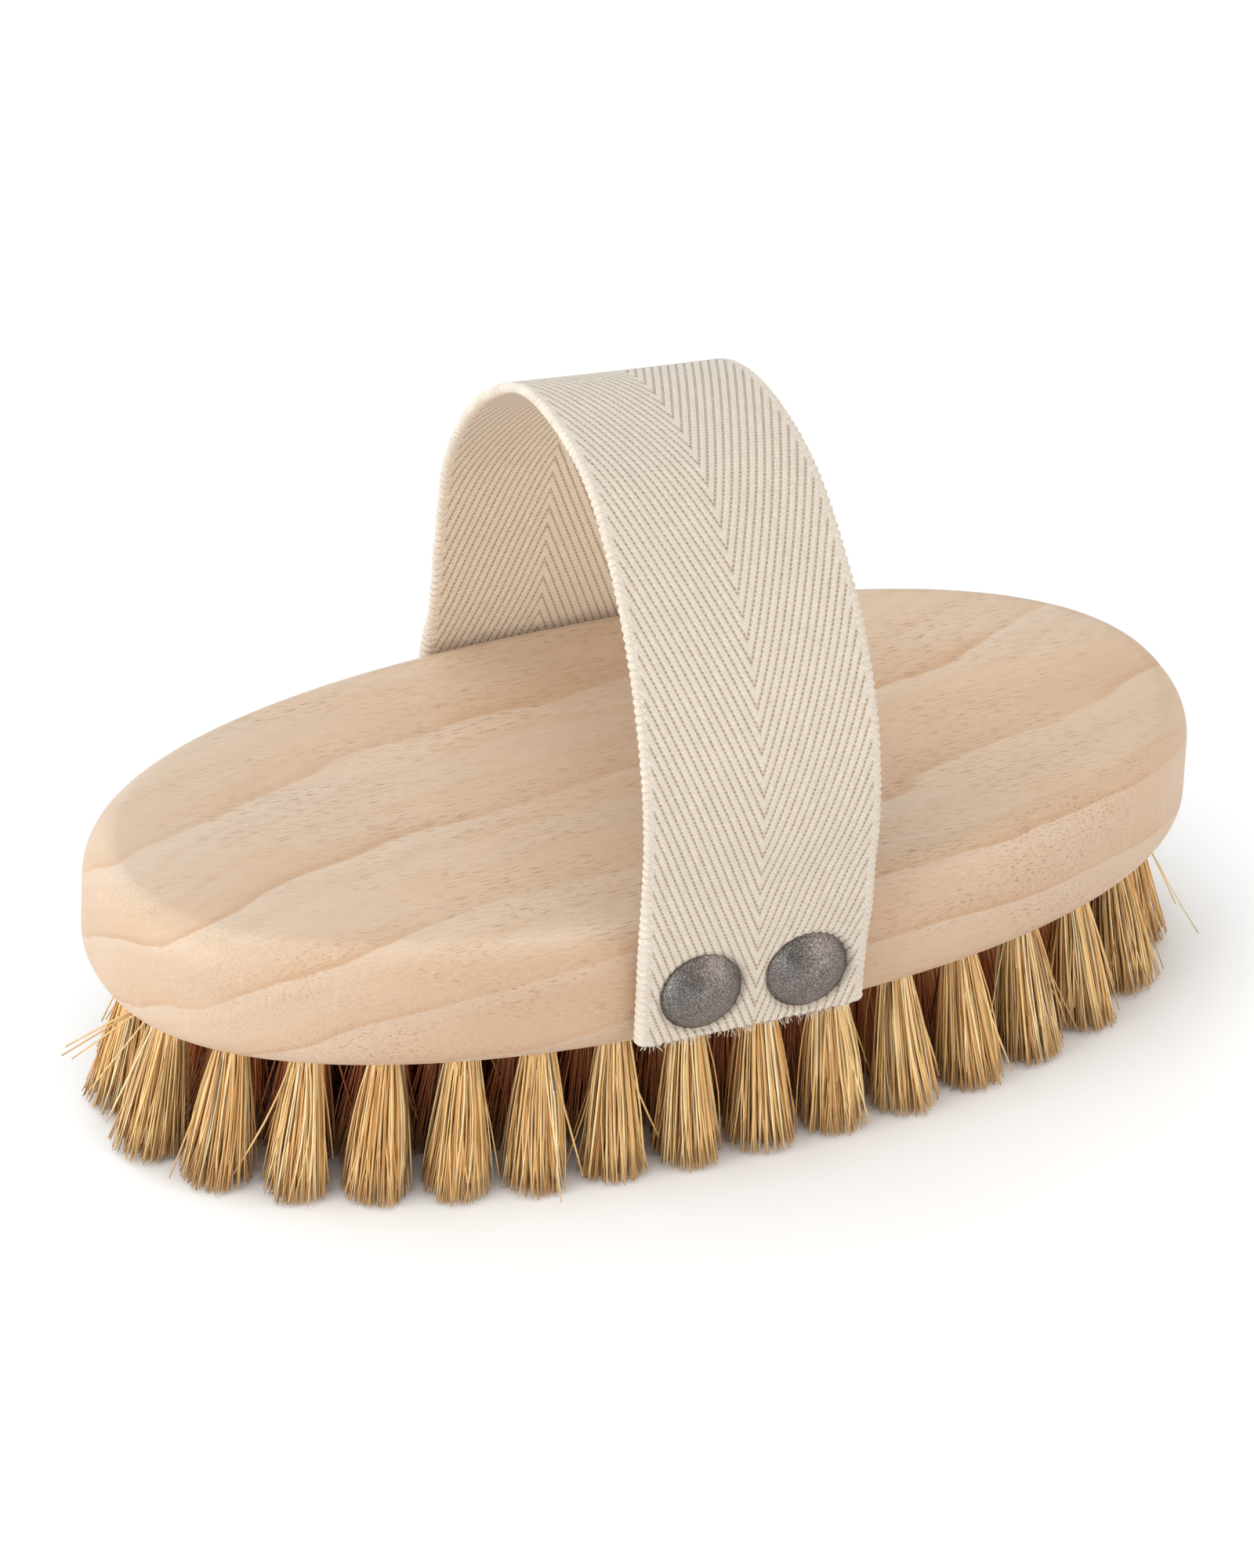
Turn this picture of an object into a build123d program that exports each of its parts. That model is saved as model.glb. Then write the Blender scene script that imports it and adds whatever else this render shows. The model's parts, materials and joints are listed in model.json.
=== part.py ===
"""Oval body dry brush: a beech block, anchor-set bristle tufts and a webbing strap nailed to its sides.

Frame: +X along the block, +Y across it, +Z up. The origin is on the plane of the trimmed bristle tips,
under the centre of the block, so the brush stands on Z = 0. All sizes are in millimetres.
"""

import math
import os

from build123d import *

# ---- Driving dimensions --------------------------------------------------------------------------

# Wooden block
BLOCK_LENGTH = 150.0
BLOCK_WIDTH = 71.5
BLOCK_THICKNESS = 19.0
BLOCK_OVAL_POWER = 2.25       # 2 is an ellipse, and more is squarer
BLOCK_TOP_ROUND = 5.0         # radius of the upper rim
BLOCK_BOTTOM_ROUND = 5.0      # radius of the lower rim

# Bristle tufts, folded over flat wire anchors in blind holes
BRISTLE_LENGTH = 21.0         # free length below the block
TUFT_HOLE_RADIUS = 2.0
TUFT_EDGE = 1.0               # flat wood between the lower rim's round and the outer holes, on the axes
TUFT_PITCH = 9.8              # aimed distance between neighbours in a row
TUFT_LEAN = 3.0               # how far the outer ring's tips spread past their holes
TUFT_GAP = 0.6                # air between neighbouring tips
TUFT_FIT = 0.1                # air between a bundle and its hole
ANCHOR_BITE = 0.6             # how far an anchor's end cuts into the wood beside the hole
ANCHOR_HEIGHT = 1.6
ANCHOR_THICKNESS = 0.35
ANCHOR_FOLD = 1.1             # bristle fold between the anchor and the hole's floor
ANCHOR_FIT = 0.1              # air round an anchor in its slot
RINGS = ("outer_ring", "middle_ring", "inner_ring")     # closed rings, outside a straight centre row

# Webbing strap
STRAP_WIDTH = 30.0
STRAP_THICKNESS = 1.4
STRAP_HEM = 3.0               # height of the cut end above the block's underside
STRAP_UPRIGHT = 14.5          # straight rise of each leg above the block's top, before the arch
STRAP_ARCH = 39.8             # rise of the arch's middle line above its springing
SHOULDER_TURN = 45.0          # degrees that each shoulder turns before the crown
STRAP_FIT = 0.05              # air between the strap and the block's side
STRAP_END_RISE = 0.5          # how far the fixed ends' corners stand above the block's top
STRAP_LEAN_GAP = 0.3          # air between the fixed ends and the part that leans

# Dome-headed upholstery nails, two at each end of the strap
NAIL_SPACING = 14.6
NAIL_HEAD_RADIUS = 5.5
NAIL_HEAD_HEIGHT = 2.5
NAIL_HEAD_WALL = 0.5
NAIL_PIN_RADIUS = 0.8
NAIL_PIN_DEPTH = 11.0         # how far the pin reaches into the wood
NAIL_POINT = 2.4              # length of the pin's point
NAIL_FLANGE_RADIUS = 1.7      # disc that joins the pin to the cap
NAIL_FLANGE_HEIGHT = 0.5
NAIL_FIT = 0.05               # air between nail faces and what they sit on
NAIL_WEB = 0.7                # wood between the pins and the tuft holes' floors

# ---- Sizes that follow from them -----------------------------------------------------------------

BLOCK_BOTTOM = BRISTLE_LENGTH
BLOCK_TOP = BLOCK_BOTTOM + BLOCK_THICKNESS
HALF_LENGTH = BLOCK_LENGTH / 2
HALF_WIDTH = BLOCK_WIDTH / 2

NAIL_Z = BLOCK_BOTTOM + BLOCK_THICKNESS / 2
TUFT_HOLE_DEPTH = NAIL_Z - NAIL_PIN_RADIUS - NAIL_WEB - BLOCK_BOTTOM

RING_INSET = BLOCK_BOTTOM_ROUND + TUFT_EDGE + TUFT_HOLE_RADIUS
RING_SPACING = (HALF_WIDTH - RING_INSET) / len(RINGS)

STRAP_INNER_Y = HALF_WIDTH + STRAP_FIT
STRAP_OUTER_Y = STRAP_INNER_Y + STRAP_THICKNESS
STRAP_END_RADIUS = math.hypot(STRAP_WIDTH / 2, BLOCK_TOP + STRAP_END_RISE - NAIL_Z)

SIDES = {"front": -1, "rear": 1}
HANDS = {"left": -1, "right": 1}

CURVE_POINTS = 48             # points that carry the block's outline spline
MEASURE_STEPS = 2880          # steps used to measure along a ring
CUT_REACH = 2 * BLOCK_WIDTH   # length of the tools that cut right across the brush


# ---- Ovals ---------------------------------------------------------------------------------------

def oval_point(half_length, half_width, turn):
    """The point of a superellipse at turn, in radians."""
    power = 2 / BLOCK_OVAL_POWER
    c, s = math.cos(turn), math.sin(turn)
    x = half_length * math.copysign(abs(c) ** power, c)
    y = half_width * math.copysign(abs(s) ** power, s)
    return x, y


def spread_on_oval(half_length, half_width, pitch):
    """Points about a pitch apart, evenly spaced round a superellipse.

    They mirror about both axes, and the first stands half a step past the +X end.
    """
    turns = [2 * math.pi * k / MEASURE_STEPS for k in range(MEASURE_STEPS + 1)]
    path = [oval_point(half_length, half_width, t) for t in turns]
    lengths = [0.0]
    for here, there in zip(path, path[1:]):
        lengths.append(lengths[-1] + math.dist(here, there))
    count = 4 * max(1, round(lengths[-1] / pitch / 4))
    found, k = [], 0
    for n in range(count):
        wanted = lengths[-1] * (2 * n + 1) / (2 * count)
        while lengths[k + 1] < wanted:
            k += 1
        share = (wanted - lengths[k]) / (lengths[k + 1] - lengths[k])
        (x0, y0), (x1, y1) = path[k], path[k + 1]
        found.append((x0 + share * (x1 - x0), y0 + share * (y1 - y0)))
    return found


# ---- Where the tufts stand -----------------------------------------------------------------------

def tuft_rows():
    """{row name: [(root x, root y, tip x, tip y), ...]}, from the outer ring to the centre row."""
    rows = {}
    for n, name in enumerate(RINGS):
        inset = RING_INSET + n * RING_SPACING
        lean = TUFT_LEAN * (1 - n / len(RINGS))
        a, b = HALF_LENGTH - inset, HALF_WIDTH - inset
        roots = spread_on_oval(a, b, TUFT_PITCH)
        rows[name] = [(x, y, x * (1 + lean / a), y * (1 + lean / b)) for x, y in roots]
    reach = HALF_LENGTH - RING_INSET - len(RINGS) * RING_SPACING
    gaps = 2 * max(1, round(reach / TUFT_PITCH))
    steps = [reach * (2 * k / gaps - 1) for k in range(gaps + 1)]
    rows["centre_row"] = [(x, 0.0, x, 0.0) for x in steps]
    return rows


def tip_radius(tip, rows):
    """The widest round tip that leaves the gap to its nearest neighbour."""
    others = [(x, y) for row in rows.values() for _, _, x, y in row if (x, y) != tip]
    return (min(math.dist(tip, other) for other in others) - TUFT_GAP) / 2


# ---- Tufts, anchors and their holes --------------------------------------------------------------

def anchor_box(x, y, gap):
    """A flat wire anchor across one hole, grown by gap all round."""
    length = 2 * (TUFT_HOLE_RADIUS + ANCHOR_BITE)
    top = BLOCK_BOTTOM + TUFT_HOLE_DEPTH - ANCHOR_FOLD
    middle = top - ANCHOR_HEIGHT / 2
    size = (length + 2 * gap, ANCHOR_THICKNESS + 2 * gap, ANCHOR_HEIGHT + 2 * gap)
    return Pos(x, y, middle) * Box(*size)


def tuft_hole(x, y):
    """The blind hole for one tuft, with the slot that its anchor cuts."""
    hole = Pos(x, y, BLOCK_BOTTOM) * Cylinder(
        TUFT_HOLE_RADIUS, 2 * TUFT_HOLE_DEPTH, align=(Align.CENTER, Align.CENTER, Align.CENTER)
    )
    return hole + anchor_box(x, y, ANCHOR_FIT)


def tuft(x, y, tip_x, tip_y, tip_radius):
    """One bundle: a round root folded over its anchor, and a flared brush trimmed flat at Z = 0."""
    root_radius = TUFT_HOLE_RADIUS - TUFT_FIT
    mouth = Pos(x, y, BLOCK_BOTTOM) * Circle(root_radius)
    tip = Pos(tip_x, tip_y) * Circle(tip_radius)
    brush = loft([tip.face(), mouth.face()], ruled=True)
    root = Pos(x, y, BLOCK_BOTTOM) * Cylinder(
        root_radius, TUFT_HOLE_DEPTH - TUFT_FIT, align=(Align.CENTER, Align.CENTER, Align.MIN)
    )
    return brush + root - anchor_box(x, y, ANCHOR_FIT)


# ---- Block ---------------------------------------------------------------------------------------

def wooden_block(rows):
    """The oval block with its rounded rims, tuft holes and nail holes."""
    turns = [2 * math.pi * k / CURVE_POINTS for k in range(CURVE_POINTS)]
    points = [oval_point(HALF_LENGTH, HALF_WIDTH, t) for t in turns]
    outline = make_face(Spline(*points, periodic=True))
    block = Pos(0, 0, BLOCK_BOTTOM) * extrude(outline, BLOCK_THICKNESS)
    rims = block.edges().group_by(Axis.Z)
    block = fillet(rims[-1], BLOCK_TOP_ROUND)
    rims = block.edges().group_by(Axis.Z)
    block = fillet(rims[0], BLOCK_BOTTOM_ROUND)
    holes = [tuft_hole(x, y) for row in rows.values() for x, y, _, _ in row]
    holes += [nail_pin(side, hand, NAIL_FIT) for side in SIDES.values() for hand in HANDS.values()]
    return block.cut(*holes)


# ---- Strap ---------------------------------------------------------------------------------------

def arch_line(offset):
    """One side of the strap's section in YZ, offset outwards from its middle line, front end first.

    Each leg rises straight, turns on a shoulder arc and meets its twin on the crown arc.
    """
    half_span = STRAP_INNER_Y + STRAP_THICKNESS / 2
    turn = math.radians(SHOULDER_TURN)
    split = (STRAP_ARCH - half_span) / (math.cos(turn) + math.sin(turn) - 1)
    shoulder = half_span + split * math.cos(turn) + offset
    crown = STRAP_ARCH - split * math.sin(turn) + offset
    springing = BLOCK_TOP + STRAP_UPRIGHT
    crown_centre = springing + split * math.sin(turn)
    y = half_span + offset
    hem = BLOCK_BOTTOM + STRAP_HEM
    meet = (-crown * math.cos(turn), crown_centre + crown * math.sin(turn))
    half_turn = (
        -y + shoulder * (1 - math.cos(turn / 2)),
        springing + shoulder * math.sin(turn / 2),
    )
    top = (0, crown_centre + crown)
    return [
        Line((-y, hem), (-y, springing)),
        ThreePointArc((-y, springing), half_turn, meet),
        ThreePointArc(meet, top, (-meet[0], meet[1])),
        ThreePointArc((-meet[0], meet[1]), (-half_turn[0], half_turn[1]), (y, springing)),
        Line((y, springing), (y, hem)),
    ]


def whole_strap():
    """The strap in one piece, standing over the block."""
    outer = arch_line(STRAP_THICKNESS / 2)
    inner = arch_line(-STRAP_THICKNESS / 2)
    ends = [Line(outer[0] @ 0, inner[0] @ 0), Line(outer[-1] @ 1, inner[-1] @ 1)]
    section = make_face(outer + inner + ends)
    return extrude(Plane.YZ * section, STRAP_WIDTH / 2, both=True)


def nailed_zone(gap):
    """The space of the strap's fixed ends: all below the nail line, and a round top about it."""
    below = Pos(0, 0, NAIL_Z) * Box(
        2 * STRAP_END_RADIUS, CUT_REACH, NAIL_Z, align=(Align.CENTER, Align.CENTER, Align.MAX)
    )
    round_top = Pos(0, 0, NAIL_Z) * Rot(90, 0, 0) * Cylinder(STRAP_END_RADIUS + gap, CUT_REACH)
    return below + round_top


def strap_end(side):
    """The nailed end of the strap on one side, with a hole for each nail."""
    half_space = Pos(0, side * CUT_REACH / 2, NAIL_Z) * Box(CUT_REACH, CUT_REACH, CUT_REACH)
    end = whole_strap() & nailed_zone(0) & half_space
    for hand in HANDS.values():
        end -= nail_pin(side, hand, NAIL_FIT)
    return end


def strap_loop():
    """The free arch of the strap, which leans along the block about the nail line."""
    return whole_strap() - nailed_zone(STRAP_LEAN_GAP)


# ---- Nails ---------------------------------------------------------------------------------------

def place_nail(piece, side, hand):
    """Puts a nail piece, made along +Z from the strap's outer face, on one side of the brush."""
    turn = Rot(-90 * side, 0, 0)
    return Pos(hand * NAIL_SPACING / 2, side * (STRAP_OUTER_Y + NAIL_FIT), NAIL_Z) * turn * piece


def dome(radius, height):
    """A solid cap of a sphere on the XY plane."""
    ball = (radius**2 + height**2) / (2 * height)
    rise = Pos(0, 0, height - ball) * Sphere(ball)
    return rise & Cylinder(ball, ball, align=(Align.CENTER, Align.CENTER, Align.MIN))


def nail_cap(side, hand):
    """The hollow domed head."""
    outside = dome(NAIL_HEAD_RADIUS, NAIL_HEAD_HEIGHT)
    inside = dome(NAIL_HEAD_RADIUS - NAIL_HEAD_WALL, NAIL_HEAD_HEIGHT - NAIL_HEAD_WALL)
    return place_nail(outside - inside, side, hand)


def nail_pin(side, hand, gap=0.0):
    """The pointed pin with the flange that joins it to the cap. A gap grows it into its hole."""
    room = NAIL_HEAD_HEIGHT - NAIL_HEAD_WALL
    ball = ((NAIL_HEAD_RADIUS - NAIL_HEAD_WALL) ** 2 + room**2) / (2 * room)
    sink = ball - math.sqrt(ball**2 - NAIL_FLANGE_RADIUS**2)
    top = room - sink - NAIL_FIT
    radius = NAIL_PIN_RADIUS + gap
    tip = -(NAIL_PIN_DEPTH + STRAP_THICKNESS + STRAP_FIT + NAIL_FIT + gap)
    outline = Polyline(
        (0, top),
        (NAIL_FLANGE_RADIUS, top),
        (NAIL_FLANGE_RADIUS, top - NAIL_FLANGE_HEIGHT),
        (radius, top - NAIL_FLANGE_HEIGHT),
        (radius, tip + NAIL_POINT),
        (0, tip),
        close=True,
    )
    pin = revolve(Plane.XZ * make_face(outline), Axis.Z)
    return place_nail(pin, side, hand)


# ---- Assembly ------------------------------------------------------------------------------------

def all_nodes():
    """{node name: shape} for every piece of the brush."""
    rows = tuft_rows()
    nodes = {"handle_block": wooden_block(rows), "strap_loop": strap_loop()}
    for side_name, side in SIDES.items():
        nodes[f"strap_end_{side_name}"] = strap_end(side)
        for hand_name, hand in HANDS.items():
            nodes[f"nail_cap_{side_name}_{hand_name}"] = nail_cap(side, hand)
            nodes[f"nail_pin_{side_name}_{hand_name}"] = nail_pin(side, hand)
    for name, row in rows.items():
        tufts = [tuft(*place, tip_radius(place[2:], rows)) for place in row]
        anchors = [anchor_box(x, y, 0) for x, y, _, _ in row]
        nodes[f"tufts_{name}"] = Compound(children=[t.solid() for t in tufts])
        nodes[f"anchors_{name}"] = Compound(children=[a.solid() for a in anchors])
    return nodes


def main():
    os.makedirs("parts", exist_ok=True)
    for name, shape in all_nodes().items():
        export_step(shape, f"parts/{name}.step")


main()
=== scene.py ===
"""The looks of an oval body dry brush: beech block, bristle tufts, herringbone strap and domed nails.

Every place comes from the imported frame. Lengths are in metres; MM turns millimetres into metres.
"""

import json
import math

import bmesh
import bpy
import numpy as np
from mathutils import Matrix, Vector, noise


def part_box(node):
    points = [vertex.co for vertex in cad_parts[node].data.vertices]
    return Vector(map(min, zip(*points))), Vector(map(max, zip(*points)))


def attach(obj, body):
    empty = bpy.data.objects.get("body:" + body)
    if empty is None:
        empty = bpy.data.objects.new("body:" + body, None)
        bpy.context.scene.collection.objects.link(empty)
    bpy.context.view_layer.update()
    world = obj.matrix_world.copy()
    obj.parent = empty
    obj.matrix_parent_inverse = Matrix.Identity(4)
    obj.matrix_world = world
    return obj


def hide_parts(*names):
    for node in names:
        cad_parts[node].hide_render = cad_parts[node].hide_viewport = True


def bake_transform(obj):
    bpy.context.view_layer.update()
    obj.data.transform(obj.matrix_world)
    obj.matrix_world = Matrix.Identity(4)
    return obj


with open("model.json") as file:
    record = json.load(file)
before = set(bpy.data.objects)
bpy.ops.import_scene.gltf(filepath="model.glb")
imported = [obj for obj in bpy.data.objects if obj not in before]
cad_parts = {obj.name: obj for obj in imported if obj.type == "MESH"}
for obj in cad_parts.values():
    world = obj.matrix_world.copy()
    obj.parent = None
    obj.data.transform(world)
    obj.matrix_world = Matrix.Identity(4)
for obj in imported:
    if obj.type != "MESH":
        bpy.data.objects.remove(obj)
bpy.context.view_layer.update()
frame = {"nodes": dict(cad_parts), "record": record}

MM = 0.001
BODY, STRAP_BODY = "brush", "strap"

# ---- Places read from the frame ------------------------------------------------------------------

BLOCK_LOW, BLOCK_HIGH = (np.array(corner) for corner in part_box("handle_block"))
STRAP_HIGH = np.array(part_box("strap_loop")[1])
HALF_LENGTH, HALF_WIDTH, _ = (BLOCK_HIGH - BLOCK_LOW) / 2
BLOCK_BOTTOM, BLOCK_TOP = BLOCK_LOW[2], BLOCK_HIGH[2]
NAIL_Z = frame["record"]["behaviour"]["joints"][0]["pos_m"][2]
NAIL_NAMES = [f"nail_cap_{side}_{hand}" for side in ("front", "rear") for hand in ("left", "right")]

# ---- Block ---------------------------------------------------------------------------------------

OVAL_POWER = 2.25
TOP_ROUND = (4.4 * MM, 6.4 * MM)        # how far the upper rim turns in, and down
BOTTOM_ROUND = (5.0 * MM, 5.2 * MM)
OUTLINE_STEPS = 384
ROUND_STEPS = 14
SIDE_STEPS = 8
TOP_RINGS = 18
HOLE_RADIUS = 2.0 * MM
HOLE_DEPTH = 8.0 * MM
HOLE_SIDES = 24

# ---- Bristles ------------------------------------------------------------------------------------

TUFT_ROWS = {"outer_ring": 300, "middle_ring": 170, "inner_ring": 130, "centre_row": 130}
ROOT_RADIUS = 1.85 * MM
OUTER_FAN, INNER_FAN = 0.92, 1.3        # how far the hairs fan out, as a share of the CAD bundle's tip
HAIR_RADIUS = 0.18 * MM
HAIR_TIP_RADIUS = 0.11 * MM
HAIR_RINGS = 6
HAIR_SIDES = 3
HAIR_START = 2.5 * MM                   # how deep in its hole a hair starts
HAIR_SCATTER = 0.35 * MM                # how unevenly the hairs bow and land
TRIM_SCATTER, EDGE_RISE = 0.16 * MM, 0.5 * MM   # how unevenly the tips are cut, and how far the outer ones rise
STRAY_SHARE, STRAY_SCATTER, STRAY_RISE = 0.05, 2.0 * MM, 5 * MM
# Tips of hairs that have sprung out at the left end, in millimetres: x and y from the end tuft, and height
FLYAWAY_TIPS = [(-12.6, 4.5, 14.4), (-12.0, 3.8, 12.8), (-10.6, 1.0, 9.5), (-12.3, 6.5, 11.6), (-9.6, -2.5, 6.5)]

# ---- Strap ---------------------------------------------------------------------------------------

WEBBING_THICKNESS = 1.4 * MM
RIB_RELIEF = 0.13 * MM
RIB_RISE = 2.89 * MM                    # distance between ribs along the strap
RIB_SLOPE = 2.59                        # how far a rib rises along the strap for each step across it
SELVEDGE = 0.45 * MM
STRAP_ROWS = 575
OUTER_COLUMNS, INNER_COLUMNS = 108, 54
EDGE_STEPS = 5
KNOB_RISE, KNOB_DEPTH = 1.15 * MM, 0.26 * MM    # the loops of weft along the selvedges
KNOB_REACH = 0.8 * MM                   # how wide the knobbly band is
HEM_TUCK, TUCK_RISE = 0.045, 24 * MM    # how far the front hem's right corner is pulled in, and over what height
NAIL_SWELL = 0.75 * MM                  # how far the webbing stands proud round the nail heads
FRAY_COUNT, FRAY_STEPS, FRAY_SIDES = 260, 5, 5

# The strap's two edges from the front hem to the rear hem, as (y, z) in millimetres on its middle surface
LEFT_EDGE = [
    (-36.5, 24.0), (-36.5, 34.0), (-36.5, 45.0), (-36.3, 55.0), (-34.0, 65.5), (-29.4, 76.5), (-22.6, 86.4),
    (-13.8, 94.0), (-3.0, 96.4), (7.5, 95.2), (17.0, 89.4), (25.6, 80.6), (31.6, 69.5), (33.6, 57.0),
    (34.6, 45.5), (36.5, 34.0), (36.5, 24.0),
]
RIGHT_EDGE = [
    (-36.5, 24.0), (-36.6, 34.0), (-37.8, 45.0), (-38.4, 55.0), (-36.5, 65.5), (-31.6, 75.5), (-23.8, 83.8),
    (-14.4, 90.2), (-3.0, 92.6), (8.0, 91.4), (17.6, 86.6), (26.2, 78.4), (32.2, 67.8), (34.2, 56.0),
    (35.0, 45.0), (36.5, 34.0), (36.5, 24.0),
]

# ---- Nails, floor and camera ---------------------------------------------------------------------

NAIL_WALL = 0.5 * MM
NAIL_SIDES = 96
FLOOR_GAP = 0.2 * MM

AZIMUTH = math.radians(-24.37)
ELEVATION = math.radians(34.87)
ROLL = math.radians(2.62)
DISTANCE = 1551.7 * MM
LENS = 275.4
AIM_ACROSS, AIM_UP = -1.27 * MM, 12.75 * MM

rng = np.random.default_rng(7)


# ---- Mesh helpers --------------------------------------------------------------------------------

def add_mesh(name, points, faces, material):
    """A mesh object from an (n, 3) array of points and a list of (m, corners) arrays of faces."""
    mesh = bpy.data.meshes.new(name)
    points = np.asarray(points, np.float32)
    faces = [np.asarray(f, np.int32) for f in faces if len(f)]
    corners = np.concatenate([f.ravel() for f in faces])
    sizes = np.concatenate([np.full(len(f), f.shape[1]) for f in faces])
    mesh.vertices.add(len(points))
    mesh.vertices.foreach_set("co", points.ravel())
    mesh.loops.add(len(corners))
    mesh.loops.foreach_set("vertex_index", corners)
    mesh.polygons.add(len(sizes))
    mesh.polygons.foreach_set("loop_start", np.concatenate([[0], np.cumsum(sizes)[:-1]]))
    mesh.update(calc_edges=True)
    mesh.validate()
    return add_object(name, mesh, material)


def add_object(name, mesh, material):
    """Links an object for a mesh, with outward normals and one material."""
    bm = bmesh.new()
    bm.from_mesh(mesh)
    bmesh.ops.recalc_face_normals(bm, faces=bm.faces)
    bm.to_mesh(mesh)
    bm.free()
    mesh.polygons.foreach_set("use_smooth", np.full(len(mesh.polygons), True))
    mesh.materials.append(material)
    obj = bpy.data.objects.new(name, mesh)
    bpy.context.scene.collection.objects.link(obj)
    return obj


def grid_faces(rows, columns, wrap=False):
    """Quads of a grid of points, row by row. With wrap, the last column joins the first."""
    r, c = np.meshgrid(np.arange(rows - 1), np.arange(columns if wrap else columns - 1), indexing="ij")
    r, c = r.ravel(), c.ravel()
    right = (c + 1) % columns
    return np.stack([r * columns + c, r * columns + right, (r + 1) * columns + right, (r + 1) * columns + c], 1)


def set_attribute(obj, name, values):
    """Stores one number for each point of the mesh, for its material to read."""
    obj.data.attributes.new(name, "FLOAT", "POINT").data.foreach_set("value", np.asarray(values, np.float32))


def smoothstep(value, low, high):
    t = np.clip((value - low) / (high - low), 0, 1)
    return t * t * (3 - 2 * t)


# ---- Material helpers ----------------------------------------------------------------------------

class Paint:
    """A node material, built a node at a time."""

    def __init__(self, name, **shader):
        self.material = bpy.data.materials.new(name)
        self.material.use_nodes = True
        self.tree = self.material.node_tree
        self.shader = self.tree.nodes["Principled BSDF"]
        for key, value in shader.items():
            self.shader.inputs[key.replace("_", " ")].default_value = value

    def add(self, kind, inputs, output=0, **settings):
        """Adds a node, sets or links its inputs by name or number, and returns one of its outputs."""
        made = self.tree.nodes.new(kind)
        for key, value in settings.items():
            setattr(made, key, value)
        for key, value in inputs.items():
            self.feed(made.inputs[key], value)
        return made.outputs[output]

    def feed(self, socket, value):
        if isinstance(value, bpy.types.NodeSocket):
            self.tree.links.new(value, socket)
        else:
            socket.default_value = value

    def math(self, operation, *values):
        return self.add("ShaderNodeMath", dict(enumerate(values)), operation=operation)

    def vector(self, operation, *values):
        return self.add("ShaderNodeVectorMath", dict(enumerate(values)), operation=operation)

    def noise(self, vector, scale=1.0, detail=2.0, roughness=0.5):
        inputs = {"Vector": vector, "Scale": scale, "Detail": detail, "Roughness": roughness}
        return self.add("ShaderNodeTexNoise", inputs)

    def stretch(self, vector, x, y, z):
        return self.vector("MULTIPLY", vector, (x, y, z))

    def between(self, value, low, high, out_low=0.0, out_high=1.0):
        inputs = {"Value": value, "From Min": low, "From Max": high, "To Min": out_low, "To Max": out_high}
        return self.add("ShaderNodeMapRange", inputs, interpolation_type="SMOOTHSTEP")

    def mix(self, factor, a, b):
        inputs = {0: factor, 6: a, 7: b}
        return self.add("ShaderNodeMix", inputs, output=2, data_type="RGBA")

    def attribute(self, name):
        return self.add("ShaderNodeAttribute", {}, output=2, attribute_name=name)

    def place(self):
        """Position on the object, in metres."""
        return self.add("ShaderNodeTexCoord", {}, output=3)

    def bump(self, height, strength, distance):
        inputs = {"Height": height, "Strength": strength, "Distance": distance}
        return self.add("ShaderNodeBump", inputs)

    def finish(self, **links):
        for key, value in links.items():
            self.feed(self.shader.inputs[key.replace("_", " ")], value)
        return self.material


def color(r, g, b):
    return (r, g, b, 1.0)


# ---- Materials -----------------------------------------------------------------------------------

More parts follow.
